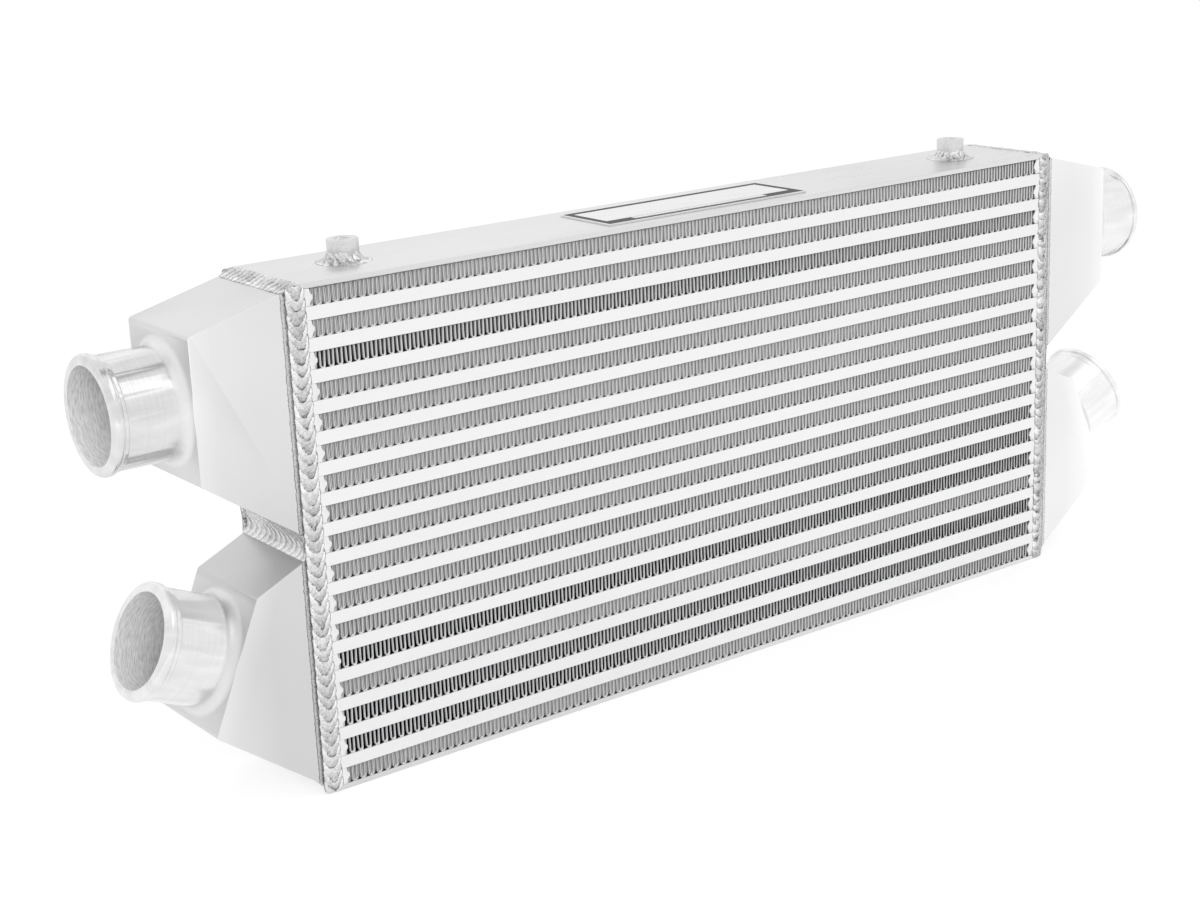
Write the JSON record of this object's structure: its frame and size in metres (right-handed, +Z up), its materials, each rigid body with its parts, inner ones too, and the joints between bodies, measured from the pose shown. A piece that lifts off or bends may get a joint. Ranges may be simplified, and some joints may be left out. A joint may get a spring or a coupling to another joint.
{
  "type": "intercooler",
  "caption": "Bar and plate charge air cooler in bare aluminium, with cast end tanks, raised-lip hose necks on both ends and threaded bosses on top.",
  "frame": {"origin": "middle of the core's bottom face, on the surface that the cooler stands on", "axes": "+X along the length of the core towards the right-hand necks, +Y the way the cooling air leaves at the rear, +Z up through the stacked passages"},
  "size_m": [0.832, 0.0798, 0.3182],
  "materials": {
    "core_plate": "satin",
    "core_bar": "satin",
    "fin": "bright folded sheet",
    "cast_tank": "fine as-cast, front and rear faces machined flat",
    "weld": "shiny rippled bead",
    "turned_boss": "turned",
    "name_plate": "brushed"
  },
  "bodies": {
    "root": {"core_top_plate": "core_plate", "core_bottom_plate": "core_plate", "left_end_bars": "core_bar", "right_end_bars": "core_bar", "charge_passage_01": "core_bar", "charge_passage_02": "core_bar", "charge_passage_03": "core_bar", "charge_passage_04": "core_bar", "charge_passage_05": "core_bar", "charge_passage_06": "core_bar", "charge_passage_07": "core_bar", "charge_passage_08": "core_bar", "charge_passage_09": "core_bar", "charge_passage_10": "core_bar", "charge_passage_11": "core_bar", "charge_passage_12": "core_bar", "charge_passage_13": "core_bar", "charge_passage_14": "core_bar", "charge_passage_15": "core_bar", "charge_passage_16": "core_bar", "air_fin_01": "fin", "air_fin_02": "fin", "air_fin_03": "fin", "air_fin_04": "fin", "air_fin_05": "fin", "air_fin_06": "fin", "air_fin_07": "fin", "air_fin_08": "fin", "air_fin_09": "fin", "air_fin_10": "fin", "air_fin_11": "fin", "air_fin_12": "fin", "air_fin_13": "fin", "air_fin_14": "fin", "air_fin_15": "fin", "air_fin_16": "fin", "air_fin_17": "fin", "upper_left_tank": "cast_tank", "lower_left_tank": "cast_tank", "upper_right_tank": "cast_tank", "lower_right_tank": "cast_tank", "left_front_weld": "weld", "left_rear_weld": "weld", "right_front_weld": "weld", "right_rear_weld": "weld", "left_top_weld": "weld", "left_middle_weld": "weld", "left_bottom_weld": "weld", "right_top_weld": "weld", "right_middle_weld": "weld", "right_bottom_weld": "weld", "left_boss_weld": "weld", "right_boss_weld": "weld", "left_boss": "turned_boss", "right_boss": "turned_boss", "name_plate": "name_plate"}
  },
  "joints": []
}
